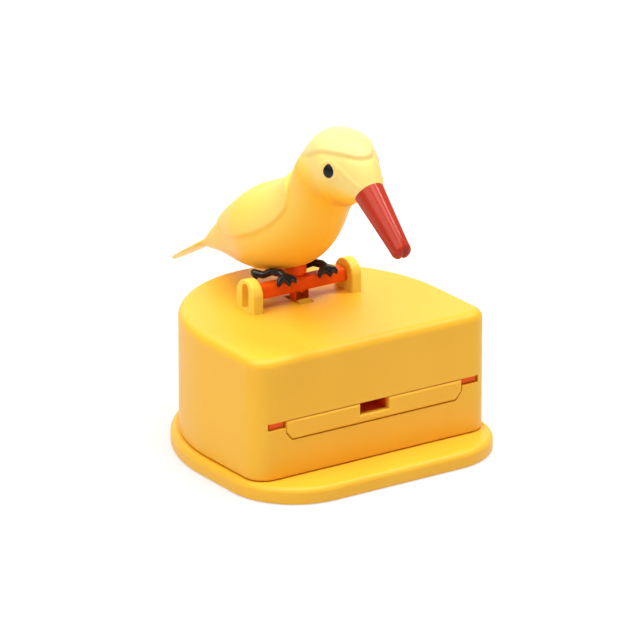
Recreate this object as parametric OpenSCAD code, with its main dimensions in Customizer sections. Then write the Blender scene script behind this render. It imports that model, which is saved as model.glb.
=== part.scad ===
// Bird toothpick dispenser: a bird on a perch that bows and drives a small drawer through gears.
// Millimetres. Origin: centre of the base's underside. +Z up, the drawer and the beak face -Y.

/* [Housing] */
// Width of the housing across the drawer
housing_w = 92; // [91:0.5:93]
// Height of the housing's top face above the table
top_z = 46.8; // [46.8:0.1:47]
// Thickness of the moulded walls
wall = 2; // [1.8:0.1:2.2]
// Radius of the housing's two front upright corners
front_corner_r = 8.5; // [7:0.5:10]
// Radius of the soft edge round the top face
top_edge_r = 2.8; // [1.5:0.1:3]

/* [Base] */
// Thickness of the base plate
base_t = 5.7; // [5:0.1:5.7]
// How far the base stands out at the sides and the back
base_lip = 2.8; // [2:0.1:3.5]
// How far the base stands out at the front
front_ledge = 14; // [10:1:16]
// Radius of the soft edge round the base's top
base_edge_r = 2; // [1.5:0.1:2.4]
// Radius of the base's two front corners
base_corner_r = 24; // [18:1:26]

/* [Perch] */
// Height of the perch axis
perch_z = 51.5; // [51.3:0.1:51.7]
// Distance between the two brackets' inner faces
perch_gap = 31; // [30.6:0.2:31.4]
// Radius of the pins at the two ends of the perch
pin_r = 1.6; // [1.4:0.1:1.8]

/* [Drive] */
// Size of one gear tooth, as pitch diameter per tooth
gear_module = 1; // [1:1]
// Teeth on the full circle of the drive sector
sector_teeth = 44; // [44:44]
// Teeth on the idler gear
idler_teeth = 10; // [10:10]

/* [Drawer] */
// Half the drawer front's width at its top edge
drawer_half_w = 34.4; // [34:0.1:34.5]
// Radius of the groove that carries one toothpick
groove_r = 1.15; // [1.1:0.05:1.3]
// Half the length of that groove
groove_half = 33.2; // [33:0.1:33.5]

/* [Bird] */
// Thickness of the bird's two half shells
skin_t = 1.6; // [1.2:0.1:1.7]
// Radius of the black eyes
eye_r = 2.1; // [1.8:0.1:2.3]

/* [Hidden] */
$fn = 48;
eps = 0.01;
yellow = [0.98, 0.80, 0.28];
red = [0.90, 0.25, 0.08];
steel = [0.72, 0.73, 0.75];

// Housing outline: straight front, straight sides, half an ellipse at the back
hw = housing_w / 2;
front_y = -34.8;
side_end_y = -5.4;
back_y = 46.2;
inner_top = top_z - wall;
seat_gap = 0.1;
shell_z = base_t + seat_gap;

// Perch and gear train, stacked under the perch axis
perch_y = 9.2;
sector_r = gear_module * sector_teeth / 2;
idler_r = gear_module * idler_teeth / 2;
idler_z = perch_z - sector_r - idler_r;
rack_z = idler_z - idler_r;
pressure_angle = 25;
addendum = 0.8 * gear_module;
dedendum = 1.05 * gear_module;
backlash = 0.24;
gear_half_t = 2.4;
sector_mid = -115;
sector_half = 38;
pitch = PI * gear_module;

// Drawer slot in the front wall
slot_top = 25.2;
slot_low = 18.1;
slot_step = 22.9;
slot_end = 41;
slot_fit = 0.25;
top_slot = [5.8, 9.6];
notch_half = 5.6;
notch_z = 21;
notch_back = -26;
groove_y = -30.6;
groove_z = 23.9;
tray_top = 25;
tray_low = 18.6;
wing_low = 23.1;
wing_half = 40.6;
wing_back = -4;
block_back = -20;
tail_back = -4.6;

// Rack, spring and frame
arm_half = 3;
arm_low = 14.5;
arm_back = 33;
riser_front = -12.8;
riser_back = -5.2;
rack_screw_y = [-10.8, -7.2];
tab_t = 2;
spring_z = 10.6;
spring_r = 3;
stop_back = 0;
spring_front = stop_back;
spring_back = arm_back - tab_t;
cheek_in = 6;
cheek_out = 8;
flange_z = 38;
flange_t = 2;
boss_r = 3.2;
screw_r = 1;
screw_hole_r = 1.1;
head_r = 2.2;
head_h = 1.4;
frame_screws = [[13, -1], [13, 28]];
magazine_screw = [39, -24];
rail_screw = [38.4, -11];
axle_r = 1.5;

// Brackets
bracket_t = 5.5;
bracket_w = 8.6;
bracket_up = 6.1;
bracket_in = perch_gap / 2;
peg_fit = 0.05;

// The bird's rings, from rump to beak: [forward of the perch axis, above it, half width,
// half height, the way the ring faces in degrees above straight forward]
RINGS = [[-54, -0.4, 2.4, 1.8, 27], [-42.6, 4.6, 7, 5.6, 36], [-27.2, 10.4, 12, 11.6, 32],
    [-12.2, 17, 17.2, 14.8, 34], [-0.2, 23.8, 15.4, 13.8, 38], [10.4, 34, 12.4, 10.8, 57],
    [17.4, 43.4, 12.2, 10.6, 41], [23, 47.2, 11, 13, 24], [28, 48.6, 11.2, 11.2, 4],
    [34.4, 46.4, 7.6, 9.8, -18], [40.6, 43.4, 5, 4.8, -41]];
ring_steps = 44;
arc_steps = 12;
beak_pitch = 41;
beak_len = 24.2;
beak_base_r = 4.8;
post_f = -2.5;
post_r = 4;
cross_screw_up = -1;

// ---------- outlines ----------
function arc(cx, cy, r, a0, a1, n) =
    [for (i = [0:n]) let (a = a0 + (a1 - a0) * i / n) [cx + r * cos(a), cy + r * sin(a)]];
function half_ellipse(a, cy, b, n) =
    [for (i = [0:n]) let (t = 180 * i / n) [a * cos(t), cy + b * sin(t)]];
function d_points(half, y0, y1, r) = concat(
    arc(r - half, y0 + r, r, 180, 270, 8),
    arc(half - r, y0 + r, r, 270, 360, 8),
    half_ellipse(half, side_end_y, y1 - side_end_y, 32));
// The housing's outline, drawn in by some distance
module housing_outline(inset) {
    polygon(d_points(hw - inset, front_y + inset, back_y - inset, max(front_corner_r - inset, 1)));
}
module base_outline(inset) {
    polygon(d_points(hw + base_lip - inset, front_y - front_ledge + inset,
        back_y + base_lip - inset, base_corner_r - inset));
}
// Slices of a rounded top edge of radius r that ends at height z; $a is each slice's angle
module rounded_edge(z, r) {
    slice_t = 0.2;
    for ($a = [22.5:22.5:90]) translate([0, 0, z - r - slice_t + r * sin($a)])
        linear_extrude(slice_t) children();
}

// ---------- gears, drawn in the plane across the perch ----------
function inv(a) = tan(a) * 180 / PI - a;
function tooth_half(r, rho) = let (rb = r * cos(pressure_angle))
    (pitch / 4 * 2 - backlash) / 2 / r * 180 / PI + inv(pressure_angle)
    - (rho > rb ? inv(acos(rb / rho)) : 0);
function tooth_points(r, mid) = let (lo = r - dedendum - 0.3, hi = r + addendum,
    rb = max(r * cos(pressure_angle), lo), rs = [for (i = [0:6]) rb + (hi - rb) * i / 6])
    concat(
        [lo * [cos(mid - tooth_half(r, lo)), sin(mid - tooth_half(r, lo))]],
        [for (q = rs) q * [cos(mid - tooth_half(r, q)), sin(mid - tooth_half(r, q))]],
        [for (i = [6:-1:0]) rs[i] * [cos(mid + tooth_half(r, rs[i])), sin(mid + tooth_half(r, rs[i]))]],
        [lo * [cos(mid + tooth_half(r, lo)), sin(mid + tooth_half(r, lo))]]);
// Extrudes a drawing of the Y-Z plane along X, between -half and +half
module across(half) {
    rotate([90, 0, 90]) translate([0, 0, -half]) linear_extrude(2 * half) children();
}
module screw(p, z, length) {
    translate([p[0], p[1], z]) cylinder(r = screw_r, h = length);
    translate([p[0], p[1], z - head_h]) cylinder(r = head_r, h = head_h);
}

// ---------- lofts for the bird ----------
function blend(a, b, c, d, t) = 0.5 * (2 * b + (c - a) * t + (2 * a - 5 * b + 4 * c - d) * t * t
    + (3 * b - a - 3 * c + d) * t * t * t);
function station(s) = let (n = len(RINGS) - 1, i = max(min(floor(s), n - 1), 0))
    blend(RINGS[max(i - 1, 0)], RINGS[i], RINGS[i + 1], RINGS[min(i + 2, n)], s - i);
// Half a ring of the bird, from its bottom round one side to its top
function half_ring(s, inset, side) = let (c = station(s))
    [for (j = [0:arc_steps]) let (a = 180 * j / arc_steps - 90, h = (c[3] - inset) * sin(a))
        [side * (j == 0 || j == arc_steps ? 0 : (c[2] - inset) * cos(a)),
         perch_y - c[0] + h * sin(c[4]), perch_z + c[1] + h * cos(c[4])]];

// ---------- base ----------
module base_plate() color(yellow) {
    difference() {
        hull() {
            linear_extrude(base_t - base_edge_r / 2) base_outline(base_edge_r / 2);
            translate([0, 0, 1]) linear_extrude(base_t - 1 - base_edge_r) base_outline(0);
            rounded_edge(base_t, base_edge_r) base_outline(base_edge_r * (1 - cos($a)));
        }
        translate([0, 0, 2.4]) linear_extrude(base_t) housing_outline(wall + 2.2);
    }
    // Rim that locates the housing
    difference() {
        translate([0, 0, 2.4]) linear_extrude(base_t) housing_outline(wall + 0.35);
        translate([0, 0, 2.3]) linear_extrude(base_t + 1) housing_outline(wall + 2.2);
    }
}

// ---------- housing ----------
module drawer_slot() {
    polygon([[-slot_end, slot_top], [-slot_end, slot_step], [-34.7, slot_step], [-34.6, notch_z],
        [-32.2, slot_low], [32.2, slot_low], [34.6, notch_z], [34.7, slot_step],
        [slot_end, slot_step], [slot_end, slot_top]]);
}
module mirrored() {
    children();
    mirror([1, 0, 0]) children();
}
module boss(p) {
    translate([p[0], p[1], flange_z]) difference() {
        cylinder(r = boss_r, h = inner_top - flange_z + 0.5);
        translate([0, 0, -eps]) cylinder(r = screw_r, h = 6);
    }
}
module housing_shell() color(yellow) {
    difference() {
        hull() {
            translate([0, 0, shell_z]) linear_extrude(top_z - top_edge_r - shell_z) housing_outline(0);
            rounded_edge(top_z, top_edge_r) housing_outline(top_edge_r * (1 - cos($a)));
        }
        translate([0, 0, shell_z - 1]) linear_extrude(inner_top - shell_z + 1) housing_outline(wall);
        translate([0, front_y + wall + 1, 0]) rotate([90, 0, 0]) linear_extrude(wall + 2) drawer_slot();
        translate([-top_slot[0] / 2, perch_y - top_slot[1] / 2, inner_top - 1])
            cube([top_slot[0], top_slot[1], wall + 2]);
        mirrored() translate([bracket_in + 1, perch_y - 2.5, inner_top - 1])
            cube([bracket_t - 2, 5, wall + 2]);
    }
    mirrored() {
        for (p = frame_screws) boss(p);
        boss(magazine_screw);
        boss(rail_screw);
    }
}
// Arched bracket on the right of the perch, with its outer slot and its peg in the housing's top
module bracket() {
    difference() {
        union() {
            translate([bracket_in, perch_y - bracket_w / 2, top_z])
                cube([bracket_t, bracket_w, perch_z + bracket_up - bracket_w / 2 - top_z]);
            translate([bracket_in, perch_y, perch_z + bracket_up - bracket_w / 2]) rotate([0, 90, 0])
                cylinder(d = bracket_w, h = bracket_t);
            translate([bracket_in + 1 + peg_fit, perch_y - 2.5 + peg_fit, inner_top])
                cube([bracket_t - 2 - 2 * peg_fit, 5 - 2 * peg_fit, wall + eps]);
        }
        translate([bracket_in - 1, perch_y, perch_z]) rotate([0, 90, 0])
            cylinder(r = pin_r + 0.06, h = bracket_t + 2);
        translate([bracket_in + 3, perch_y - 1.3, top_z + 1.6]) cube([bracket_t, 2.6, 8]);
    }
}
module left_bracket() color(yellow) mirror([1, 0, 0]) bracket();
module right_bracket() color(yellow) bracket();

// Hopper over the drawer: two cheeks, a sloping floor, a low back wall and two screw ears
module toothpick_magazine() color(red) {
    mirrored() {
        translate([33.8, -32.5, 25.6]) cube([1.4, 19.7, 18.7]);
        difference() {
            translate([35.1, magazine_screw[1] - 3.5, flange_z - flange_t]) cube([7.2, 7, flange_t]);
            translate([magazine_screw[0], magazine_screw[1], flange_z - flange_t - 1])
                cylinder(r = screw_hole_r, h = flange_t + 2);
        }
    }
    across(33.9) polygon([[-28.9, 25.5], [-27.2, 25.5], [-12.8, 31.9], [-12.8, 34.6], [-14.4, 34.6],
        [-14.4, 33], [-28.9, 26.6]]);
}
// Channel that guides one wing of the drawer, hung from the housing's top and clear of its walls
module drawer_rail() intersection() {
    difference() {
        union() {
            translate([35.4, -32.6, 21.3]) cube([7.2, 29.6, 1.6]);
            translate([41, -32.6, 22.8]) cube([1.6, 29.6, 4]);
            translate([38, -32.6, 25.3]) cube([4.6, 29.6, 1.5]);
            translate([41, rail_screw[1] - 3.5, 26.7]) cube([1.6, 7, flange_z - 26.7]);
            translate([35.8, rail_screw[1] - 3.5, flange_z - flange_t]) cube([6.8, 7, flange_t]);
        }
        translate([rail_screw[0], rail_screw[1], flange_z - flange_t - 1])
            cylinder(r = screw_hole_r, h = flange_t + 2);
    }
    linear_extrude(top_z) housing_outline(wall + 0.3);
}
module left_drawer_rail() color(yellow) mirror([1, 0, 0]) drawer_rail();
module right_drawer_rail() color(yellow) drawer_rail();
module housing_screws() color(steel) mirrored() {
    for (p = frame_screws) screw(p, flange_z - flange_t, 7);
    screw(magazine_screw, flange_z - flange_t, 7);
    screw(rail_screw, flange_z - flange_t, 7);
}
// Two cheeks that carry the idler axle, a rear wall, the spring stop and four screw flanges
module mechanism_frame() color([0.93, 0.93, 0.9]) {
    mirrored() difference() {
        union() {
            translate([cheek_in, -3, 7]) cube([cheek_out - cheek_in, 39, flange_z - 7]);
            for (p = frame_screws) translate([cheek_out - eps, p[1] - 3.5, flange_z - flange_t])
                cube([8.8, 7, flange_t]);
        }
        translate([0, perch_y, idler_z]) rotate([0, 90, 0]) cylinder(r = axle_r + 0.01, h = 20);
        for (p = frame_screws) translate([p[0], p[1], flange_z - flange_t - 1])
            cylinder(r = screw_hole_r, h = flange_t + 2);
    }
    translate([-cheek_in - eps, stop_back - 2, 7]) cube([2 * cheek_in + 2 * eps, 2, 6.6]);
    translate([-cheek_in - eps, 34.4, 7]) cube([2 * cheek_in + 2 * eps, 1.6, flange_z - 7]);
    translate([0, stop_back - eps, spring_z]) rotate([-90, 0, 0]) cylinder(r = 1.7, h = 5);
}
module idler_axle() color(steel)
    translate([-cheek_out, perch_y, idler_z])
        rotate([0, 90, 0]) cylinder(r = axle_r, h = 2 * cheek_out);
// Compression spring, drawn as the sleeve its wire fills
module return_spring() color(steel)
    translate([0, spring_front, spring_z]) rotate([-90, 0, 0]) difference() {
        cylinder(r = spring_r, h = spring_back - spring_front);
        translate([0, 0, -1]) cylinder(r = spring_r - 0.8, h = spring_back - spring_front + 2);
    }

// ---------- drawer ----------
module drawer_front() color(yellow)
    translate([0, front_y + wall, 0]) rotate([90, 0, 0]) linear_extrude(wall) difference() {
        polygon([[-drawer_half_w, slot_top - slot_fit], [-drawer_half_w, notch_z + 0.1],
            [-32.05, slot_low + slot_fit], [32.05, slot_low + slot_fit],
            [drawer_half_w, notch_z + 0.1], [drawer_half_w, slot_top - slot_fit]]);
        translate([-notch_half, notch_z]) square([2 * notch_half, 10]);
    }
module drawer_tray() color(red) difference() {
    union() {
        translate([-31.5, front_y + wall, tray_low]) cube([63, block_back - front_y - wall, 5]);
        translate([-33.4, front_y + wall, wing_low])
            cube([66.8, tail_back - front_y - wall, tray_top - wing_low]);
        mirrored() translate([33.3, front_y + wall, wing_low])
            cube([wing_half - 33.3, wing_back - front_y - wall, tray_top - wing_low]);
        mirrored() translate([35, front_y + 0.9, wing_low])
            cube([wing_half - 35, wall, tray_top - wing_low]);
    }
    translate([-groove_half, groove_y, groove_z])
        rotate([0, 90, 0]) cylinder(r = groove_r, h = 2 * groove_half);
    translate([-groove_half, groove_y - groove_r, groove_z]) cube([2 * groove_half, 2 * groove_r, 3]);
    translate([-notch_half, front_y, notch_z]) cube([2 * notch_half, notch_back - front_y, 10]);
    for (y = rack_screw_y) translate([0, y, wing_low - 1]) cylinder(r = screw_r, h = 2.5);
}
// Toothed arm under the tray: a riser screwed to the tray, nine teeth and the spring's tab
module drive_rack() color([0.93, 0.93, 0.9]) {
    difference() {
        union() {
            translate([-arm_half, riser_front, arm_low])
                cube([2 * arm_half, arm_back - riser_front, rack_z - dedendum - arm_low]);
            translate([-arm_half, riser_front, arm_low])
                cube([2 * arm_half, riser_back - riser_front, wing_low - arm_low]);
            translate([-arm_half, arm_back - tab_t, 7.4]) cube([2 * arm_half, tab_t, 8]);
        }
        for (y = rack_screw_y) translate([0, y, arm_low - 1]) cylinder(r = screw_hole_r, h = 12);
    }
    across(gear_half_t) for (k = [-1:7]) translate([perch_y + k * pitch, rack_z]) rack_tooth();
}
module rack_tooth() {
    half = pitch / 4 - backlash / 2;
    run = tan(pressure_angle);
    polygon([[-half - dedendum * run, -dedendum - eps], [half + dedendum * run, -dedendum - eps],
        [half - addendum * run, addendum], [addendum * run - half, addendum]]);
}
module rack_screws() color(steel)
    for (y = rack_screw_y) translate([0, y, arm_low]) {
        cylinder(r = 0.95, h = 9.8);
        translate([0, 0, -head_h]) cylinder(r = 1.7, h = head_h);
    }

// ---------- idler ----------
module idler_gear() color([0.93, 0.93, 0.9]) translate([0, perch_y, idler_z]) difference() {
    union() {
        across(gear_half_t) {
            circle(r = idler_r - dedendum);
            for (k = [0:idler_teeth - 1])
                polygon(tooth_points(idler_r, 90 + (k + 0.5) * 360 / idler_teeth));
        }
        across(cheek_in - 0.3) circle(r = 2.9);
    }
    across(20) circle(r = axle_r + 0.05);
}

// ---------- perch and bird ----------
module perch_bar() color(red) translate([0, perch_y, perch_z]) difference() {
    union() {
        across(bracket_in - 0.3) intersection() {
            circle(r = 3.9);
            square([6, 6], center = true);
        }
        mirrored() translate([bracket_in - 2.1, 0, 0]) rotate([0, 90, 0]) cylinder(r = 4.2, h = 1.8);
        rotate([0, 90, 0]) translate([0, 0, -bracket_in - 3.9])
            cylinder(r = pin_r, h = 2 * bracket_in + 7.8);
        translate([0, -post_f, 1.5]) cylinder(r = post_r, h = 8.5);
    }
    translate([-2.5, -2, -4]) cube([5, 4, 5]);
    translate([0, 0, cross_screw_up]) rotate([-90, 0, 0]) {
        cylinder(r = 0.9, h = 8);
        translate([0, 0, 2]) cylinder(r = 1.7, h = 8);
    }
}
module drive_sector() color(red) translate([0, perch_y, perch_z]) difference() {
    across(gear_half_t) {
        translate([-1.9, -6]) square([3.8, 6.9]);
        rotate(sector_mid) translate([4.6, -1.2]) square([14.6, 2.4]);
        sector_ring(sector_r - dedendum - 3, sector_r - dedendum);
        for (k = [-1:7]) polygon(tooth_points(sector_r, -90 - k * 360 / sector_teeth));
    }
    translate([0, -5, cross_screw_up]) rotate([-90, 0, 0]) cylinder(r = 0.9, h = 10);
}
// Part of a ring about the perch axis, from one end of the sector to the other
module sector_ring(r0, r1) {
    polygon(concat(arc(0, 0, r1, sector_mid - sector_half, sector_mid + sector_half, 40),
        arc(0, 0, r0, sector_mid + sector_half, sector_mid - sector_half, 40)));
}
module sector_screw() color(steel)
    translate([0, perch_y, perch_z + cross_screw_up]) rotate([-90, 0, 0]) {
    translate([0, 0, -1.4]) cylinder(r = 0.85, h = 3.5);
    translate([0, 0, 2]) cylinder(r = 1.6, h = 0.9);
}

// One foot: a chain of rounded links from the hind claw over the perch to three front toes
FOOT = [[-13.6, -6.6, 5.4, 1], [-12.2, -4.6, 4.2, 1.1], [-8.8, -0.8, 5.3, 1.1], [-5.4, 2, 5.3, 1.3]];
TOES = [[-1.4, 6.6, 3.8, 0.9], [-2.6, 5.6, 2.8, 0.9], [-5.8, 4.4, 2.4, 0.9]];
module link(a, b) hull() {
    for (p = [a, b]) translate([p[0], perch_y - p[1], perch_z + p[2]]) sphere(r = p[3], $fn = 16);
}
module foot() {
    for (i = [0:2]) link(FOOT[i], FOOT[i + 1]);
    for (t = TOES) link(FOOT[3], t);
}
module left_foot() color([0.05, 0.05, 0.06]) foot();
module right_foot() color([0.05, 0.05, 0.06]) translate([13.2, 0, 0]) foot();

// Flat pointed tail, plugged into the rump and sloping down behind the body
module bird_tail() color(yellow) translate([0, perch_y + 50, perch_z + 0.7]) rotate([-28, 0, 0])
    linear_extrude(1.6) polygon([[-2, 0], [2, 0], [4.8, 10], [5, 18], [1.6, 29], [0, 29.6],
        [-1.6, 29], [-5, 18], [-4.8, 10]]);
// One hollow half of the bird: outer skin, inner skin, two end caps and the flat joint face
module bird_half(side) {
    n = ring_steps;
    m = arc_steps;
    w = m + 1;
    last = len(RINGS) - 1;
    inner = (n + 1) * w;
    pts = [
        for (i = [0:n]) each half_ring(last * i / n, 0, side),
        for (i = [0:n]) each half_ring(0.8 + (last - 1.1) * i / n, skin_t, side)];
    outer_skin = [for (i = [0:n - 1], j = [0:m - 1]) let (a = i * w + j)
        each [[a, a + 1, a + 1 + w], [a, a + 1 + w, a + w]]];
    inner_skin = [for (f = outer_skin) [f[0] + inner, f[2] + inner, f[1] + inner]];
    joint_face = [for (i = [0:n - 1], j = [0, m]) let (a = i * w + j, b = a + inner)
        each (j == 0 ? [[a, a + w, b + w], [a, b + w, b]] : [[a, b + w, a + w], [a, b, b + w]])];
    ends = [
        [for (j = [m:-1:0]) j], [for (j = [0:m]) n * w + j],
        [for (j = [0:m]) inner + j], [for (j = [m:-1:0]) inner + n * w + j],
        [0, inner, inner + m, m], [n * w + m, inner + n * w + m, inner + n * w, n * w]];
    faces = concat(outer_skin, inner_skin, joint_face, ends);
    polyhedron(pts, side < 0 ? faces : [for (f = faces) [for (k = [len(f) - 1:-1:0]) f[k]]]);
}
module bird_body_left() color(yellow) bird_half(-1);
module bird_body_right() color(yellow) bird_half(1);

// Tapered round beak with a blunt, notched end, turned down from the head's last ring
module bird_beak() color([0.75, 0.2, 0.14])
    translate([0, perch_y - RINGS[10][0], perch_z + RINGS[10][1]])
        rotate([90 + beak_pitch, 0, 0]) difference() {
        rotate_extrude() polygon(concat([[0, -3], [3, -3], [3, 0], [beak_base_r, 0]],
            [for (a = [0:15:90]) [0.6 + 2.4 * cos(a), beak_len - 2.4 + 2.4 * sin(a)]],
            [[0, beak_len]]));
        translate([0, 6, beak_len]) rotate([90, 0, 0]) linear_extrude(12)
            polygon([[-1, 1], [0, -1.6], [1, 1]]);
        translate([-6, 0, beak_len]) rotate([0, 90, 0]) cylinder(r = 1.1, h = 12);
    }
module eye() {
    translate([8.6, perch_y - 30.6, perch_z + 49.8]) sphere(r = eye_r);
}
module left_eye() color("black") mirror([1, 0, 0]) eye();
module right_eye() color("black") eye();

base_plate();
housing_shell();
left_bracket();
right_bracket();
toothpick_magazine();
left_drawer_rail();
right_drawer_rail();
housing_screws();
mechanism_frame();
idler_axle();
return_spring();
drawer_front();
drawer_tray();
drive_rack();
rack_screws();
idler_gear();
perch_bar();
drive_sector();
sector_screw();
left_foot();
right_foot();
bird_body_left();
bird_body_right();
bird_tail();
bird_beak();
left_eye();
right_eye();
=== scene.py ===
import math

import bmesh
import bpy
import numpy as np
from mathutils import Matrix, Vector


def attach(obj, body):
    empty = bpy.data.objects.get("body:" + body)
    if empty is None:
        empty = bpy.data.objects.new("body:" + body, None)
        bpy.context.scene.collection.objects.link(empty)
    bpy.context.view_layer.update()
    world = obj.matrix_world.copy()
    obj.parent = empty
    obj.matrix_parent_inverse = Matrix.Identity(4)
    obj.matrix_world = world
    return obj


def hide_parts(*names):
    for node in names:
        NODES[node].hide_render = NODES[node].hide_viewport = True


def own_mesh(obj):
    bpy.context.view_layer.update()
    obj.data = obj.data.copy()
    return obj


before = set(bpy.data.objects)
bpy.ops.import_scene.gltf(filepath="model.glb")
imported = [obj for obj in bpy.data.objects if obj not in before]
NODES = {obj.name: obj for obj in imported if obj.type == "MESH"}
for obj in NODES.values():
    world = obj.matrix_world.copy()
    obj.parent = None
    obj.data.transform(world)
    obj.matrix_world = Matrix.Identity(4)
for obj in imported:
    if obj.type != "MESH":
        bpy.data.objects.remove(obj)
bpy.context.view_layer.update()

MM = 0.001


# ---------------------------------------------------------------- camera, floor and light
CAMERA_AT = (-1.0909, -1.6191, 0.7501)
CAMERA_HEADING = math.radians(34.02)
CAMERA_DIP = math.radians(19.93)
CAMERA_LENS = 356.93
SENSOR_WIDTH = 36.0
LIGHT_DISTANCE = 3         # metres
LIGHT_TARGET = (0, 0, 0.05)
# Soft boxes: (name, direction from the object, width, height, power)
LIGHTS = [("key", (-0.66, -0.06, 0.72), 2.2, 2.2, 43),
          ("overhead", (0.04, -0.04, 0.99), 2.6, 2.6, 116),
          ("accent", (0.54, -0.22, 0.81), 0.5, 0.5, 22),
          ("backdrop", (0.45, 0.80, 0.35), 3.2, 2.2, 21)]
WORLD_STRENGTH = 0.24
FLOOR_HALF = 3000
FLOOR_SHADE = 0.34
FLOOR_GLOW = 0.52


def aim(obj, direction):
    """Turns a camera or a light to look along a direction."""
    obj.rotation_euler = Vector(direction).to_track_quat("-Z", "Y").to_euler()


def make_camera():
    data = bpy.data.cameras.new("camera")
    data.sensor_width = SENSOR_WIDTH
    data.lens = CAMERA_LENS
    data.clip_start = 0.1
    data.clip_end = 20
    camera = bpy.data.objects.new("camera", data)
    camera.location = CAMERA_AT
    level = math.cos(CAMERA_DIP)
    aim(camera, (math.sin(CAMERA_HEADING) * level, math.cos(CAMERA_HEADING) * level,
                 -math.sin(CAMERA_DIP)))
    bpy.context.scene.collection.objects.link(camera)
    bpy.context.scene.camera = camera


def area_light(name, toward, width, height, power):
    """A white soft box that stands in the direction `toward` from the object and faces it."""
    data = bpy.data.lights.new(name, "AREA")
    data.shape = "RECTANGLE"
    data.size = width
    data.size_y = height
    data.energy = power
    light = bpy.data.objects.new(name, data)
    away = Vector(toward).normalized()
    light.location = Vector(LIGHT_TARGET) + away * LIGHT_DISTANCE
    aim(light, -away)
    bpy.context.scene.collection.objects.link(light)


def make_studio():
    scene = bpy.context.scene
    scene.view_settings.view_transform = "Standard"
    world = bpy.data.worlds.new("studio")
    world.use_nodes = True
    background = world.node_tree.nodes["Background"]
    background.inputs["Color"].default_value = (1.0, 1.0, 1.0, 1)
    background.inputs["Strength"].default_value = WORLD_STRENGTH
    scene.world = world
    for light in LIGHTS:
        area_light(*light)
    corners = [(-1, -1), (1, -1), (1, 1), (-1, 1)]
    floor = make_object("floor", [(FLOOR_HALF * x, FLOOR_HALF * y, 0) for x, y in corners],
                        [(0, 1, 2, 3)])
    floor.data.materials.append(plain_floor())


# ---------------------------------------------------------------- mesh helpers
def make_object(name, points, faces):
    """A mesh object from points in millimetres."""
    mesh = bpy.data.meshes.new(name)
    mesh.from_pydata([tuple(c * MM for c in p) for p in points], [], faces)
    mesh.validate()
    obj = bpy.data.objects.new(name, mesh)
    bpy.context.scene.collection.objects.link(obj)
    outward(obj)
    return obj


def outward(obj):
    """Turns every face of a closed mesh outward."""
    work = bmesh.new()
    work.from_mesh(obj.data)
    bmesh.ops.recalc_face_normals(work, faces=work.faces)
    work.to_mesh(obj.data)
    work.free()


def skin_faces(rows, count, first=0, closed=True):
    """Quads over rows of count points each, numbered from first."""
    columns = count if closed else count - 1
    return [(first + i * count + j, first + i * count + (j + 1) % count,
             first + (i + 1) * count + (j + 1) % count, first + (i + 1) * count + j)
            for i in range(rows - 1) for j in range(columns)]


def loft(name, loops):
    """A closed skin through loops of equal length, with flat ends."""
    count = len(loops[0])
    points = [tuple(p) for loop in loops for p in loop]
    faces = skin_faces(len(loops), count)
    faces.append(tuple(range(count)))
    faces.append(tuple(len(points) - count + j for j in range(count)))
    return make_object(name, points, faces)


def prism(name, profile, low, high, place):
    """A solid with a flat profile; place(a, b, h) puts profile point (a, b) at height h."""
    return loft(name, [[place(a, b, h) for a, b in profile] for h in (low, high)])


def block(name, lo, hi):
    """A box between two corners."""
    profile = [(lo[0], lo[1]), (hi[0], lo[1]), (hi[0], hi[1]), (lo[0], hi[1])]
    return prism(name, profile, lo[2], hi[2], lambda a, b, h: (a, b, h))


def circle(radius, count, cx=0.0, cy=0.0):
    """Points round a circle, as a profile."""
    return [(cx + radius * math.cos(2 * math.pi * i / count),
             cy + radius * math.sin(2 * math.pi * i / count)) for i in range(count)]


def bake(obj):
    """Turns the object's modifiers into its mesh."""
    graph = bpy.context.evaluated_depsgraph_get()
    mesh = bpy.data.meshes.new_from_object(obj.evaluated_get(graph))
    obj.modifiers.clear()
    obj.data = mesh


def combine(obj, others, operation="DIFFERENCE"):
    """Cuts the others from obj, or joins them to it."""
    for other in others:
        modifier = obj.modifiers.new("combine", "BOOLEAN")
        modifier.operation = operation
        modifier.solver = "EXACT"
        modifier.object = other
        bake(obj)
        bpy.data.objects.remove(other)


def weld_and_bevel(obj, width, segments=3, angle=32):
    """Modifiers that round every edge sharper than the angle."""
    weld = obj.modifiers.new("weld", "WELD")
    weld.merge_threshold = 0.002 * MM
    bevel = obj.modifiers.new("bevel", "BEVEL")
    bevel.width = width * MM
    bevel.segments = segments
    bevel.limit_method = "ANGLE"
    bevel.angle_limit = math.radians(angle)
    bevel.use_clamp_overlap = True


def soften(obj, width, segments=3, angle=32):
    """Rounds the sharp edges of a piece built here."""
    weld_and_bevel(obj, width, segments, angle)
    bake(obj)


def shade(obj, angle=40):
    """Smooth shading, with edges sharper than the angle kept sharp."""
    work = bmesh.new()
    work.from_mesh(obj.data)
    limit = math.radians(angle)
    for face in work.faces:
        face.smooth = True
    for edge in work.edges:
        edge.smooth = not (edge.is_manifold and edge.calc_face_angle(0) > limit)
    work.to_mesh(obj.data)
    work.free()
    normals = obj.modifiers.new("normals", "WEIGHTED_NORMAL")
    normals.keep_sharp = True
    return obj


def dress(obj, material, slot, body, *nodes):
    """Gives a finished piece its material and its body, and hides the CAD nodes that it stands for.
    """
    obj.data.materials.clear()
    obj.data.materials.append(material)
    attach(obj, body)
    if nodes:
        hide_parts(*nodes)


# ---------------------------------------------------------------- materials
def new_material(name):
    """A node material, with its nodes and links."""
    material = bpy.data.materials.new(name)
    material.use_nodes = True
    return material, material.node_tree.nodes, material.node_tree.links


def noise(nodes, links, scale, detail=3.0):
    """Noise that keeps its place on the piece; scale is per metre."""
    place = nodes.new("ShaderNodeTexCoord")
    texture = nodes.new("ShaderNodeTexNoise")
    texture.inputs["Scale"].default_value = scale
    texture.inputs["Detail"].default_value = detail
    links.new(place.outputs["Object"], texture.inputs["Vector"])
    return texture.outputs["Fac"]


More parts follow.
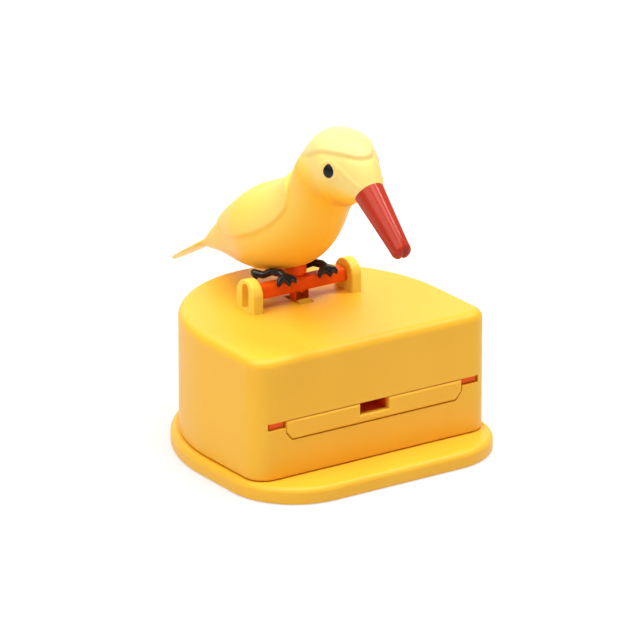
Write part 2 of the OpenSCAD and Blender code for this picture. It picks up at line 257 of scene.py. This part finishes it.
def ramp(nodes, links, value, stops):
    """A colour ramp over stops of (place, colour)."""
    node = nodes.new("ShaderNodeValToRGB")
    elements = node.color_ramp.elements
    while len(elements) < len(stops):
        elements.new(0.5)
    for element, (place, colour) in zip(elements, stops):
        element.position = place
        element.color = (*colour, 1)
    links.new(value, node.inputs["Fac"])
    return node.outputs["Color"]


def surface(nodes, links, roughness, spread, grain_scale, grain_depth):
    """Roughness that wanders a little, and the fine grain of a moulded face."""
    shader = nodes["Principled BSDF"]
    low, high = roughness - spread, roughness + spread
    rough = ramp(nodes, links, noise(nodes, links, 420, 4),
                 [(0.3, (low, low, low)), (0.7, (high, high, high))])
    links.new(rough, shader.inputs["Roughness"])
    bump = nodes.new("ShaderNodeBump")
    bump.inputs["Strength"].default_value = 0.5
    bump.inputs["Distance"].default_value = grain_depth * MM
    links.new(noise(nodes, links, grain_scale, 2), bump.inputs["Height"])
    links.new(bump.outputs["Normal"], shader.inputs["Normal"])
    return shader


ROUGHNESS_SPREAD = 0.05


def finish_plastic(shader, gloss, coat, coat_roughness, glow, reach, depth):
    """The gloss, the clear top coat and the soft glow inside of a plastic."""
    shader.inputs["Specular IOR Level"].default_value = gloss
    shader.inputs["Coat Weight"].default_value = coat
    shader.inputs["Coat Roughness"].default_value = coat_roughness
    shader.inputs["Subsurface Weight"].default_value = glow
    shader.inputs["Subsurface Radius"].default_value = reach
    shader.inputs["Subsurface Scale"].default_value = depth * MM


def moulded(name, light, deep, roughness, coat=0.0, glow=0.0, grain=0.012, gloss=0.3):
    """Moulded plastic: slow drift between two shades, satin grain and a soft glow inside."""
    material, nodes, links = new_material(name)
    shader = surface(nodes, links, roughness, ROUGHNESS_SPREAD, 2600, grain)
    drift = ramp(nodes, links, noise(nodes, links, 34), [(0.32, deep), (0.68, light)])
    links.new(drift, shader.inputs["Base Color"])
    finish_plastic(shader, gloss, coat, 0.12, glow, (1.0, 0.45, 0.12), 2.5)
    return material


def bird_plastic_with_painted_shade():
    """The bird's plastic: its colour runs from pale crown and wings to an orange breast, partly its
    own colour and partly painted shade.
    """
    material, nodes, links = new_material("bird_plastic")
    shader = surface(nodes, links, 0.47, ROUGHNESS_SPREAD, 2200, 0.010)
    paleness_and_shade_node = nodes.new("ShaderNodeAttribute")
    paleness_and_shade_node.attribute_name = "paleness_and_shade"
    wander = nodes.new("ShaderNodeMath")
    wander.operation = "MULTIPLY_ADD"
    wander.inputs[1].default_value = 0.10
    links.new(noise(nodes, links, 60), wander.inputs[0])
    links.new(paleness_and_shade_node.outputs["Fac"], wander.inputs[2])
    # Deep orange where the map paints shade, pale yellow on the crown, face and wings.
    shades = ramp(nodes, links, wander.outputs[0],
                  [(0.05, (0.95, 0.37, 0.012)), (0.35, (0.96, 0.49, 0.030)),
                   (0.70, (0.95, 0.59, 0.08)), (0.84, (0.94, 0.65, 0.15)),
                   (1.0, (0.88, 0.67, 0.28))])
    links.new(shades, shader.inputs["Base Color"])
    finish_plastic(shader, 0.25, 0.05, 0.25, 0.06, (1.0, 0.5, 0.12), 1.5)
    return material


def metal(name, colour, roughness):
    """Drawn or turned steel, with fine streaks."""
    material, nodes, links = new_material(name)
    shader = surface(nodes, links, roughness, 0.08, 5200, 0.004)
    dark = tuple(0.8 * c for c in colour)
    streaks = ramp(nodes, links, noise(nodes, links, 900, 5), [(0.35, dark), (0.65, colour)])
    links.new(streaks, shader.inputs["Base Color"])
    shader.inputs["Metallic"].default_value = 1.0
    return material


def plain_floor():
    """A pale matt floor with a little light of its own, which keeps the shadows faint."""
    material, nodes, _ = new_material("floor")
    shader = nodes["Principled BSDF"]
    shader.inputs["Base Color"].default_value = (FLOOR_SHADE, FLOOR_SHADE, FLOOR_SHADE, 1)
    shader.inputs["Roughness"].default_value = 0.9
    shader.inputs["Emission Color"].default_value = (1.0, 1.0, 1.0, 1)
    shader.inputs["Emission Strength"].default_value = FLOOR_GLOW
    return material


# ---------------------------------------------------------------- base and housing
SIDE_END = -5.4            # y where the straight sides end and the round back starts
HOUSING_HALF = 46.0
FRONT = -34.8
BACK = 46.2
TOP = 46.8
WALL = 2.0
CORNER = 7.2
TOP_EDGE = 3.1
DRAWER_FACE = FRONT - 0.35
FLANGE = 2.8               # how far the base stands out at the sides and back
FLANGE_FRONT = 14
FLANGE_CORNER = 24
SEAT = 5.7                 # height of the base's rim, where the housing stands
# Half widths and heights of the front slot and its end openings, and of the drawer front in it
OPENING_HALF, OPENING_LOW, OPENING_TOP = 41.3, 22.7, 25.2
SLOT_HALF, SLOT_LOW = 34.7, 18.1
DRAWER_HALF, DRAWER_LOW, DRAWER_TOP = 34.4, 18.35, 24.95
NOTCH_HALF, NOTCH_LOW = 5.6, 21
# Screw posts under the top, on the +X side
POSTS = [(13, -1), (13, 28), (39, -24), (38.4, -11)]
PERCH_Y = 9.2              # the axis the bird bows about
PERCH_Z = 51.5
BRACKET_IN = 17.5
BRACKET_OUT = 21.3
SPRING_Z = 10.6


def d_outline(half, front, back, corner):
    """The D-shaped outline: straight front, round front corners, half an ellipse at the back."""
    corner_steps, back_steps = 18, 90
    left, right = [], []
    for i in range(corner_steps + 1):
        a = math.radians(90 * i / corner_steps)
        left.append((corner - half - corner * math.cos(a), front + corner - corner * math.sin(a)))
        right.append((half - corner + corner * math.sin(a), front + corner - corner * math.cos(a)))
    rear = [(half * math.cos(math.pi * i / back_steps),
             SIDE_END + (back - SIDE_END) * math.sin(math.pi * i / back_steps))
            for i in range(back_steps + 1)]
    return left + right + rear


def housing_loop(inset, z):
    """The housing's outline, this far inside its outer face."""
    return [(x, y, z) for x, y in d_outline(HOUSING_HALF - inset, FRONT + inset, BACK - inset,
                                            max(CORNER - inset, 1.0))]


def base_loop(inset, z):
    """The base's outline, this far inside its outer edge."""
    outline = d_outline(HOUSING_HALF + FLANGE - inset, FRONT - FLANGE_FRONT + inset,
                        BACK + FLANGE - inset, FLANGE_CORNER - inset)
    return [(x, y, z) for x, y in outline]


def rounded(loop, radius, z, steps=10):
    """Loops of an edge of this radius that turns from a side into a flat top at height z."""
    angles = [math.radians(90 * i / steps) for i in range(steps + 1)]
    return [loop(radius * (1 - math.cos(a)), z - radius * (1 - math.sin(a))) for a in angles]


def build_base():
    """The plate with its soft rim, the seat for the housing and the locating wall inside it."""
    loops = [base_loop(1.2, 0), base_loop(0.35, 0.25), base_loop(0, 1.0)]
    loops += rounded(base_loop, 2.0, SEAT)
    seat = WALL + 0.35
    loops += [housing_loop(-0.9, SEAT), housing_loop(-0.6, SEAT - 0.25),
              housing_loop(seat - 0.25, SEAT - 0.25), housing_loop(seat, SEAT),
              housing_loop(seat, 7.8), housing_loop(seat + 0.3, 8.1),
              housing_loop(4.0, 8.1), housing_loop(4.2, 7.9), housing_loop(4.2, 2.7),
              housing_loop(4.6, 2.4)]
    piece = loft("base_moulding", loops)
    dress(shade(piece, 50), YELLOW, "yellow_plastic", "base", "base_plate")


def slot_profile():
    """The front slot: the drawer front's outline with a low opening at each end."""
    half = [(32.2, SLOT_LOW), (SLOT_HALF - 0.1, 21), (SLOT_HALF, OPENING_LOW),
            (OPENING_HALF, OPENING_LOW), (OPENING_HALF, OPENING_TOP)]
    return [(-x, z) for x, z in reversed(half)] + half


def build_housing():
    """The hollow box, with the front slot, the slot under the perch and its screw posts."""
    outer = loft("housing_moulding", [housing_loop(0.25, SEAT + 0.1), housing_loop(0, SEAT + 0.4)]
                 + rounded(housing_loop, TOP_EDGE, TOP))
    inner = loft("cavity", [housing_loop(WALL, 5), housing_loop(WALL, TOP - WALL - 1)]
                 + rounded(lambda i, z: housing_loop(WALL + i, z), 1.0, TOP - WALL, 4))
    front_slot = prism("front_slot", slot_profile(), FRONT - 1, FRONT + WALL + 1,
                       lambda a, b, h: (a, h, b))
    top_slot = block("top_slot", (-2.9, PERCH_Y - 4.8, TOP - 4), (2.9, PERCH_Y + 4.8, TOP + 1))
    combine(outer, [inner, front_slot, top_slot])
    posts = [prism("post", circle(3.2, 32, x * side, y), 38, TOP - WALL + 0.5,
                   lambda a, b, h: (a, b, h))
             for side in (-1, 1) for x, y in POSTS]
    combine(outer, posts, "UNION")
    soften(outer, 0.28, 3)
    dress(shade(outer), YELLOW, "yellow_plastic", "housing", "housing_shell")


def build_drawer_front():
    """The drawer's flush front: sloped ends, a notch for the beak and broad soft front edges."""
    profile = [(-DRAWER_HALF, DRAWER_TOP), (-DRAWER_HALF, 21.1), (-32.05, DRAWER_LOW),
               (32.05, DRAWER_LOW), (DRAWER_HALF, 21.1), (DRAWER_HALF, DRAWER_TOP),
               (NOTCH_HALF, DRAWER_TOP), (NOTCH_HALF, NOTCH_LOW), (-NOTCH_HALF, NOTCH_LOW),
               (-NOTCH_HALF, DRAWER_TOP)]
    piece = prism("drawer_front_moulding", profile, DRAWER_FACE, FRONT + WALL,
                  lambda a, b, h: (a, h, b))
    work = bmesh.new()
    work.from_mesh(piece.data)
    edges = [e for e in work.edges if all(v.co.y < (DRAWER_FACE + 0.1) * MM for v in e.verts)]
    bmesh.ops.bevel(work, geom=edges, offset=0.9 * MM, segments=4, profile=0.5, affect="EDGES")
    work.to_mesh(piece.data)
    work.free()
    dress(shade(piece, 30), YELLOW, "yellow_plastic", "drawer", "drawer_front")


def build_tray():
    """The tray as it is in CAD, with its end lips set a little further back."""
    piece = bpy.data.objects.new("drawer_tray_moulding", NODES["drawer_tray"].data.copy())
    bpy.context.scene.collection.objects.link(piece)
    lip = (FRONT + 1.0) * MM
    for vertex in piece.data.vertices:
        vertex.co.y = max(vertex.co.y, lip)
    soften(piece, 0.2, 2)
    dress(shade(piece), RED, "red_plastic", "drawer", "drawer_tray")


def build_bracket(side):
    """Arched bracket with a tall slot in its outer face, behind which the perch pin turns."""
    half, top, foot = 5.2, PERCH_Z + 6.1, TOP - 1.0
    arch = [(PERCH_Y - half - 0.3, foot), (PERCH_Y + half + 0.3, foot), (PERCH_Y + half, TOP + 1.5)]
    arch += [(PERCH_Y + half * math.cos(a), top - half + half * math.sin(a))
             for a in np.linspace(0, math.pi, 33)]
    arch.append((PERCH_Y - half, TOP + 1.5))
    name = "left_bracket" if side < 0 else "right_bracket"
    piece = prism(name + "_moulding", arch, BRACKET_IN * side, BRACKET_OUT * side,
                  lambda a, b, h: (h, a, b))
    slot_half = 1.9
    slot = [(PERCH_Y - slot_half, TOP + 0.5), (PERCH_Y + slot_half, TOP + 0.5)]
    slot += [(PERCH_Y + slot_half * math.cos(a), TOP + 7.4 + slot_half * math.sin(a))
             for a in np.linspace(0, math.pi, 17)]
    recess = prism("slot", slot, (BRACKET_IN + 1.4) * side, (BRACKET_OUT + 1) * side,
                   lambda a, b, h: (h, a, b))
    bore = prism("bore", circle(1.66, 40, PERCH_Y, PERCH_Z), (BRACKET_IN - 1) * side,
                 (BRACKET_IN + 2) * side, lambda a, b, h: (h, a, b))
    combine(piece, [recess, bore])
    soften(piece, 0.5, 4)
    # Painted light: a paler copy of the housing's yellow, for brackets that catch the light from
    # above.
    dress(shade(piece), PAINTED_LIGHT_YELLOW, "yellow_plastic", "housing", name)


def build_spring():
    """The return spring's wire, closed at both ends, round the frame's peg."""
    length, radius, wire, turns, per_turn, sides = 30.6, 2.65, 0.32, 14, 28, 10
    count = turns * per_turn
    loops = []
    for i in range(count + 1):
        t = i / count
        closed = 1.2 / turns
        run = np.interp(t, [0, closed, 1 - closed, 1], [0, 0.022, 0.978, 1])
        a = 2 * math.pi * turns * t
        out = np.array([math.cos(a), 0, math.sin(a)])
        centre = radius * out + [0, wire + (length - 0.2) * run, SPRING_Z]
        loops.append([tuple(centre + wire * (math.cos(b) * out + np.array([0, math.sin(b), 0])))
                      for b in np.linspace(0, 2 * math.pi, sides, endpoint=False)])
    piece = loft("return_spring_wire", loops)
    dress(shade(piece, 60), STEEL, "steel", "housing", "return_spring")
    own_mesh(piece)


# ---------------------------------------------------------------- perch and feet
BAR_RAISE = 1.0
BAR_HALF = 2.3
POST_BACK = 2.5            # how far the bird's post stands behind the perch axis


def perch_section(x, half, power, raise_by=0.0, count=64):
    """A rounded square, or a circle where power is 2, across the perch."""
    points = []
    for i in range(count):
        a = 2 * math.pi * i / count
        c, s = math.cos(a), math.sin(a)
        points.append((x, PERCH_Y + half * math.copysign(abs(c) ** (2 / power), c),
                       PERCH_Z + raise_by + half * math.copysign(abs(s) ** (2 / power), s)))
    return points


def build_perch():
    """Slim bar that sits a little above its end pins, with the short post that holds the bird."""
    half = [(19.0, 1.3, 2, 0), (18.7, 1.6, 2, 0), (17.2, 1.6, 2, 0), (17.1, 2.0, 4, BAR_RAISE),
            (16.7, BAR_HALF, 6, BAR_RAISE)]
    bar = loft("perch_moulding", [perch_section(-x, *rest) for x, *rest in half]
               + [perch_section(x, *rest) for x, *rest in reversed(half)])
    lug = block("lug", (-2.5, PERCH_Y - 1.9, PERCH_Z - 4.5),
                (2.5, PERCH_Y + 1.9, PERCH_Z + BAR_RAISE))
    post_y = PERCH_Y + POST_BACK
    post = loft("post", [[(a * r, post_y + b * r, PERCH_Z + z) for a, b in circle(1, 48)]
                         for z, r in ((1.0, 2.0), (2.6, 2.6), (3.6, 3.4), (4.6, 3.9), (8.5, 3.6))])
    combine(bar, [lug, post], "UNION")
    dress(shade(bar, 30), RED, "red_plastic", "bird", "perch_bar")


# Foot chains as (across, forward, up, radius), for the foot on the -X side
FOOT = [(-12.8, -6.5, 3.7, 1.0), (-13.0, -7.0, 5.0, 1.3), (-11.2, -4.6, 4.5, 1.25),
        (-9.2, -2.3, 6.0, 1.3), (-8.0, 0.8, 6.1, 1.4), (-7.5, 2.7, 5.3, 1.4)]
TOES = [[(-9.4, 2.9, 4.6, 1.1), (-10.1, 3.3, 3.5, 0.9), (-10.3, 3.3, 2.7, 0.45)],
        [(-7.2, 3.9, 4.4, 1.15), (-7.0, 4.5, 3.5, 0.95), (-6.8, 4.6, 2.7, 0.45)],
        [(-5.6, 3.8, 4.9, 1.15), (-4.8, 4.3, 4.1, 0.95), (-4.3, 4.4, 3.3, 0.45)]]
FOOT_SPACING = 16.2


def foot_point(p, shift):
    """A chain's point in metres, with the foot moved across by shift."""
    return Vector((p[0] + shift, PERCH_Y - p[1], PERCH_Z + p[2])) * MM


def add_link(work, a, b, radius_a, radius_b):
    """A rounded link between two balls."""
    axis = b - a
    turn = axis.to_track_quat("Z", "Y").to_matrix().to_4x4()
    bmesh.ops.create_cone(work, segments=20, radius1=radius_a, radius2=radius_b,
                          depth=axis.length, cap_ends=True,
                          matrix=Matrix.Translation((a + b) / 2) @ turn)
    for centre, radius in ((a, radius_a), (b, radius_b)):
        bmesh.ops.create_icosphere(work, subdivisions=3, radius=radius,
                                   matrix=Matrix.Translation(centre))


def build_foot(name, shift):
    """One foot: hind claw, instep and three toes with claws, melted into one moulded shape."""
    work = bmesh.new()
    chains = [FOOT] + [FOOT[-1:] + toe for toe in TOES]
    for chain in chains:
        for p, q in zip(chain, chain[1:]):
            add_link(work, foot_point(p, shift), foot_point(q, shift), p[3] * MM, q[3] * MM)
    mesh = bpy.data.meshes.new(name)
    work.to_mesh(mesh)
    work.free()
    piece = bpy.data.objects.new(name, mesh)
    bpy.context.scene.collection.objects.link(piece)
    remesh = piece.modifiers.new("remesh", "REMESH")
    remesh.mode = "VOXEL"
    remesh.voxel_size = 0.2 * MM
    smooth = piece.modifiers.new("smooth", "SMOOTH")
    smooth.factor = 0.5
    smooth.iterations = 4
    bake(piece)
    dress(shade(piece, 80), BLACK, "black_plastic", "bird", name.replace("_moulding", ""))


# ---------------------------------------------------------------- bird
# Rings from rump to face: forward of the perch axis, above it, half width, half height, facing
RINGS = np.array([
    (-54, -0.4, 2.4, 1.8, 27), (-42.6, 4.6, 7, 5.6, 36), (-27.2, 10.4, 12, 11.6, 32),
    (-12.2, 17, 17.2, 14.8, 34), (-0.2, 23.8, 15.4, 13.8, 38), (10.4, 34, 12.4, 10.8, 57),
    (17.4, 43.4, 12.2, 10.6, 41), (23, 47.2, 11, 13, 24), (28, 48.6, 11.2, 11.2, 4),
    (34.4, 46.4, 7.6, 9.8, -18), (40.6, 43.4, 5, 4.8, -41)])
SKIN = 1.6                 # thickness of the bird's shells
EYE = np.array([9.5, 31, 49.9])
# Edges of the folded wing and the crown and the ridge to the beak, from the side: (forward, up)
WING_EDGE = [(-52, 10), (-42, 11.6), (-35, 12.7), (-30, 13.3), (-26, 13), (-22, 13.2),
             (-16.6, 14.8), (-9.9, 17), (-5.5, 18.9), (-2.3, 20.4), (0.8, 22.3), (4.1, 24.4),
             (6.9, 26.9), (9, 29.2), (10.7, 31.5), (11.6, 34), (11.6, 36.4), (10.9, 38.4),
             (8.6, 40.2), (4, 42), (-2, 43.5)]
CROWN_EDGE = [(2, 49.8), (10, 50.4), (16, 51.3), (20.4, 52.5), (24, 54.1), (27, 55.1),
              (30, 55.3), (34, 55.1), (38.2, 54.6), (42, 54)]
BROW_RIDGE = [(32.5, 52.2), (35, 50.6), (38, 48.4), (42, 46)]


def smoothstep(x, lo, hi):
    """0 below lo, 1 above hi, and an even curve between."""
    t = np.clip((x - lo) / (hi - lo), 0, 1)
    return t * t * (3 - 2 * t)


def smooth_path(points, steps=8):
    """A Catmull-Rom curve through given points."""
    p = np.array(points, float)
    p = np.vstack([2 * p[0] - p[1], p, 2 * p[-1] - p[-2]])
    curve = [blend(*p[i:i + 4], t) for i in range(len(p) - 3)
             for t in np.arange(steps) / steps]
    return np.array(curve + [p[-2]])


def blend(a, b, c, d, t):
    """The Catmull-Rom curve from b to c at t."""
    return 0.5 * (2 * b + (c - a) * t + (2 * a - 5 * b + 4 * c - d) * t * t
                  + (3 * b - a - 3 * c + d) * t ** 3)


def stations(s):
    """Ring values at places s along the bird, 0 at the rump and 10 at the face."""
    last = len(RINGS) - 1
    i = np.clip(np.floor(s).astype(int), 0, last - 1)
    return blend(RINGS[np.maximum(i - 1, 0)], RINGS[i], RINGS[i + 1],
                 RINGS[np.minimum(i + 2, last)], (s - i)[:, None])


def body_skin(s, angles, inset):
    """Points (across, forward, up) of the bird's skin, rows along it and columns round it."""
    ring = stations(s)
    facing = np.radians(ring[:, 4:5])
    rise = (ring[:, 3:4] - inset) * np.sin(angles)
    return np.stack([(ring[:, 2:3] - inset) * np.cos(angles),
                     ring[:, 0:1] - rise * np.sin(facing),
                     ring[:, 1:2] + rise * np.cos(facing)], -1)


def edge_distance(points, edge):
    """Distance in side view from an edge line, positive above it and negative below."""
    path = smooth_path(edge)
    a, b = path[:-1], path[1:]
    p = points[..., 1:].reshape(-1, 1, 2)
    along = b - a
    t = np.clip(((p - a) * along).sum(-1) / (along ** 2).sum(-1), 0, 1)
    gap = p - (a + t[..., None] * along)
    nearest = np.argmin((gap ** 2).sum(-1), axis=1)
    rows = np.arange(len(nearest))
    offset = gap[rows, nearest]
    line = along[nearest]
    side = np.sign(line[:, 0] * offset[:, 1] - line[:, 1] * offset[:, 0])
    return (side * np.hypot(offset[:, 0], offset[:, 1])).reshape(points.shape[:-1])


def relief(points):
    """How far the moulded wing, crown, brow and eye rim stand out of the bird's skin."""
    wing = edge_distance(points, WING_EDGE)
    crown = edge_distance(points, CROWN_EDGE)
    across, forward, up = points[..., 0], points[..., 1], points[..., 2]
    raised = 0.75 * smoothstep(wing, -0.1, 0.9) - 0.35 * smoothstep(wing, 3, 12)
    raised -= 0.20 * np.exp(-((wing + 0.5) / 0.5) ** 2)
    raised *= smoothstep(forward, -46, -33)
    parting = np.exp(-(across / 1.6) ** 2) * smoothstep(forward, -14, 2)
    raised *= 1 - 0.95 * parting
    cap = 0.7 * smoothstep(crown, -0.1, 0.6) - 0.4 * smoothstep(crown, 2, 8)
    cap -= 0.22 * np.exp(-((crown + 0.4) / 0.45) ** 2)
    raised += cap * smoothstep(forward, 11, 23)
    nape = ((forward - 8.5) / 3) ** 2 + ((up - 42.8) / 3) ** 2
    raised -= 0.8 * np.exp(-nape)
    eye_gap = np.linalg.norm(np.abs(points) - EYE, axis=-1)
    raised += 0.28 * np.exp(-((eye_gap - 3.0) / 0.5) ** 2)
    ridge = np.exp(-(edge_distance(points, BROW_RIDGE) / 0.75) ** 2)
    raised += 0.3 * ridge * smoothstep(forward, 32, 35)
    raised -= 0.06 * np.exp(-(across / 0.15) ** 2)
    return raised


def paleness_and_shade(points):
    """0 on the orange breast, 1 on the pale crown, face and wings; partly the bird's own colour,
    partly painted shade, deepest on the breast front and under the belly.
    """
    wing = edge_distance(points, WING_EDGE)
    crown = smoothstep(edge_distance(points, CROWN_EDGE), -0.5, 0.5)
    forward, up = points[..., 1], points[..., 2]
    # Painted shade, in part: below the wing the flanks deepen to orange towards the breast.
    flank = 0.62 - 0.50 * smoothstep(-wing, 2, 17) * smoothstep(forward, -24, 14)
    folded = (0.62 + 0.14 * smoothstep(forward, -24, 4)) * smoothstep(wing, -0.5, 0.5)
    face = 0.84 * smoothstep(up + 0.35 * forward, 45, 59)
    pale = np.maximum(np.maximum(flank, folded), face)
    pale = np.maximum(pale, 0.90 * crown)
    # Painted shade: darker on the underside of the belly, towards the perch.
    return pale * (1 - 0.8 * smoothstep(-up, -8, 0) * smoothstep(forward, -20, 4))


def unit(v):
    """Vectors of length 1."""
    return v / np.linalg.norm(v, axis=-1, keepdims=True)


def build_half(name, side):
    """One half shell of the bird: raised outer skin, plain inner skin and a flat joint face."""
    rows, columns = 260, 72
    last = len(RINGS) - 1
    s = np.linspace(0, last, rows)
    angles = np.linspace(-math.pi / 2, math.pi / 2, columns)[None, :]
    outer = body_skin(s, angles, 0)
    normal = unit(np.cross(np.gradient(outer, axis=1), np.gradient(outer, axis=0)))
    normal *= np.sign(normal[:, columns // 2, 0])[:, None, None]
    ends = smoothstep(s, 0.0, 0.6) * smoothstep(-s, -last, 0.35 - last)
    outer = outer + normal * (relief(outer) * ends[:, None])[..., None]
    outer[:, [0, -1], 0] = 0
    inner = body_skin(np.linspace(0.8, last - 0.3, rows), angles, SKIN)
    inner[:, [0, -1], 0] = 0
    grid = np.concatenate([outer, inner]).reshape(-1, 3)
    points = np.stack([side * grid[:, 0], PERCH_Y - grid[:, 1], PERCH_Z + grid[:, 2]], -1)
    first = rows * columns
    faces = skin_faces(rows, columns, 0, False) + skin_faces(rows, columns, first, False)
    for i in range(rows - 1):
        for j in (0, columns - 1):
            a, b = i * columns + j, (i + 1) * columns + j
            faces.append((a, b, first + b, first + a))
    for a in (0, (rows - 1) * columns):
        rim = [a + j for j in range(columns)]
        faces.append(tuple(rim))
        faces.append(tuple(first + k for k in rim))
        faces.append((rim[0], rim[-1], first + rim[-1], first + rim[0]))
    piece = make_object(name + "_moulding", points, faces)
    # The bird's colour, with painted shade on the breast and belly, kept per vertex.
    set_paleness_and_shade(piece, paleness_and_shade(grid))
    dress(shade(piece, 50), BIRD, "bird_plastic", "bird", name)


def set_paleness_and_shade(piece, values):
    """Stores at each vertex how pale the colour is, painted shade included."""
    layer = piece.data.attributes.new("paleness_and_shade", "FLOAT", "POINT")
    layer.data.foreach_set("value", values.astype(np.float32))


TAIL_PALENESS = 0.72


def build_tail():
    """Pointed tail blade with shallow feather grooves, drawn along its own slope."""
    slope = math.radians(30.4)
    root_f, root_u, length = -50.0, 2.4, 29.1
    groove_pitch, groove_depth = 2.6, 0.22
    # Along the blade, its half width and its half thickness
    shape = [(0, 2.8, 2.9), (0.14, 3.1, 2.5), (0.3, 4.2, 1.85), (0.5, 5.0, 1.35),
             (0.68, 4.9, 0.95), (0.82, 4.0, 0.75), (0.93, 2.6, 0.55), (0.985, 1.2, 0.4),
             (1.0, 0.3, 0.2)]
    path = smooth_path(shape, 5)
    loops = []
    for t, width, thick in path:
        along = length * t
        loop = []
        for i in range(56):
            a = 2 * math.pi * i / 56
            across = width * math.cos(a)
            lift = thick * math.sin(a)
            groove = groove_depth * max(0.0, math.cos(across * 2 * math.pi / groove_pitch))
            lift -= groove * smoothstep(t, 0.3, 0.5) * max(0.0, math.sin(a))
            forward = root_f - along * math.cos(slope) + lift * math.sin(slope)
            up = root_u - along * math.sin(slope) + lift * math.cos(slope)
            loop.append((across, PERCH_Y - forward, PERCH_Z + up))
        loops.append(loop)
    piece = loft("bird_tail_moulding", loops)
    set_paleness_and_shade(piece, np.full(len(piece.data.vertices), TAIL_PALENESS))
    dress(shade(piece, 60), BIRD, "bird_plastic", "bird", "bird_tail")


BEAK_ROOT = np.array([0.0, 40.6, 43.4])
BEAK_PITCH = math.radians(39)
BEAK_LENGTH = 25.4
BEAK_DOME = 2.6            # length of its rounded end
BEAK_ROOT_R = 5.05
BEAK_TIP_R = 3.25


def build_beak():
    """Tapered beak whose end is split into two rounded lobes by a valley down its middle."""
    around, straight = 72, BEAK_LENGTH - BEAK_DOME
    rings = [(BEAK_ROOT_R + (BEAK_TIP_R - BEAK_ROOT_R) * max(t, 0) ** 0.95, t * straight)
             for t in [-0.08] + [i / 30 for i in range(31)]]
    for k in range(1, 13):
        a = math.radians(90 * k / 12.2)
        rings.append((BEAK_TIP_R * math.cos(a), straight + BEAK_DOME * math.sin(a)))
    down = np.array([0, math.cos(BEAK_PITCH), -math.sin(BEAK_PITCH)])
    dorsal = np.array([0, math.sin(BEAK_PITCH), math.cos(BEAK_PITCH)])
    loops = []
    for radius, along in rings:
        near_tip = float(smoothstep(along, BEAK_LENGTH - 5, BEAK_LENGTH - 1))
        end = max(0.0, (along - straight) / BEAK_DOME)
        loop = []
        for step in range(around):
            a = 2 * math.pi * step / around
            x, d = radius * math.cos(a), radius * math.sin(a)
            valley = math.exp(-(x / 0.6) ** 2)
            d *= 1 - 0.16 * near_tip * valley
            x *= 1 + 0.06 * near_tip
            p = BEAK_ROOT + [x, 0, 0] + d * dorsal + (along - 1.4 * valley * end) * down
            loop.append((p[0], PERCH_Y - p[1], PERCH_Z + p[2]))
        loops.append(loop)
    piece = loft("bird_beak_moulding", loops)
    dress(shade(piece, 60), BEAK, "beak_plastic", "bird", "bird_beak")


EYE_SINK = 0.25
EYE_HALF_WIDTH, EYE_HALF_HEIGHT, EYE_HALF_DEPTH = 2.0, 2.2, 0.85


def build_eye(name, side):
    """A low glossy bead set in the face, drawn to a slight point at its top."""
    outward_way = Vector((side * 0.86, -0.48, 0.14)).normalized()
    up_way = (Vector((0, 0, 1)) - outward_way * outward_way.z).normalized()
    along_way = outward_way.cross(up_way)
    centre = Vector((side * EYE[0], PERCH_Y - EYE[1], PERCH_Z + EYE[2]))
    centre -= EYE_SINK * outward_way
    loops = []
    for i in range(1, 28):
        a = math.pi * i / 28
        loop = []
        for j in range(48):
            b = 2 * math.pi * j / 48
            u, v = math.sin(a) * math.cos(b), math.sin(a) * math.sin(b)
            point = max(0.0, v)
            u *= 1 - 0.24 * point ** 2
            v += 0.22 * point ** 3
            loop.append(tuple(centre + EYE_HALF_WIDTH * u * along_way
                              + EYE_HALF_HEIGHT * v * up_way
                              + EYE_HALF_DEPTH * math.cos(a) * outward_way))
        loops.append(loop)
    piece = loft(name + "_bead", loops)
    dress(shade(piece, 60), BLACK_GLASS, "black_plastic", "bird", name)


# ---------------------------------------------------------------- carried-over CAD nodes
def dress_cad(names, material, bevel):
    """Keeps the CAD shape and gives it a material and softened edges."""
    for name in names:
        node = NODES[name]
        node.data.materials.clear()
        node.data.materials.append(material)
        weld_and_bevel(node, bevel, 2)
        normals = node.modifiers.new("normals", "WEIGHTED_NORMAL")
        normals.keep_sharp = False


# ---------------------------------------------------------------- build
make_camera()
make_studio()
YELLOW = moulded("yellow_plastic", (0.90, 0.475, 0.030), (0.88, 0.450, 0.024), 0.42, 0.0, 0.05)
# Painted light: the brackets are the housing's yellow plastic, made paler because they catch the
# light from above.
PAINTED_LIGHT_YELLOW = moulded("bracket_yellow_painted_light", (0.96, 0.68, 0.085), (0.95, 0.66, 0.075), 0.42, 0.0, 0.05)
RED = moulded("red_plastic", (0.98, 0.120, 0.004), (0.95, 0.105, 0.003), 0.40, 0.0, 0.05,
              gloss=0.15)
BEAK = moulded("beak_plastic", (0.48, 0.036, 0.011), (0.40, 0.024, 0.007), 0.40, 0.30, 0.04,
               gloss=0.10)
BLACK = moulded("black_plastic", (0.012, 0.013, 0.016), (0.008, 0.008, 0.010), 0.25, 0.4)
BLACK_GLASS = moulded("eye_black", (0.006, 0.006, 0.007), (0.004, 0.004, 0.005), 0.30, 0.05,
                      grain=0.002)
WHITE = moulded("white_plastic", (0.80, 0.79, 0.74), (0.74, 0.73, 0.68), 0.45, 0.0, 0.05)
STEEL = metal("steel", (0.62, 0.63, 0.65), 0.28)
BIRD = bird_plastic_with_painted_shade()

build_base()
build_housing()
build_drawer_front()
build_tray()
for side in (-1, 1):
    build_bracket(side)
build_spring()
build_perch()
build_foot("left_foot_moulding", 0)
build_foot("right_foot_moulding", FOOT_SPACING)
build_half("bird_body_left", -1)
build_half("bird_body_right", 1)
build_tail()
build_beak()
build_eye("left_eye", -1)
build_eye("right_eye", 1)
dress_cad(["left_drawer_rail", "right_drawer_rail"], YELLOW, 0.2)
dress_cad(["toothpick_magazine"], RED, 0.2)
dress_cad(["drive_sector"], YELLOW, 0.08)
dress_cad(["mechanism_frame"], WHITE, 0.2)
dress_cad(["drive_rack", "idler_gear"], WHITE, 0.08)
dress_cad(["housing_screws", "idler_axle", "rack_screws", "sector_screw"], STEEL, 0.12)
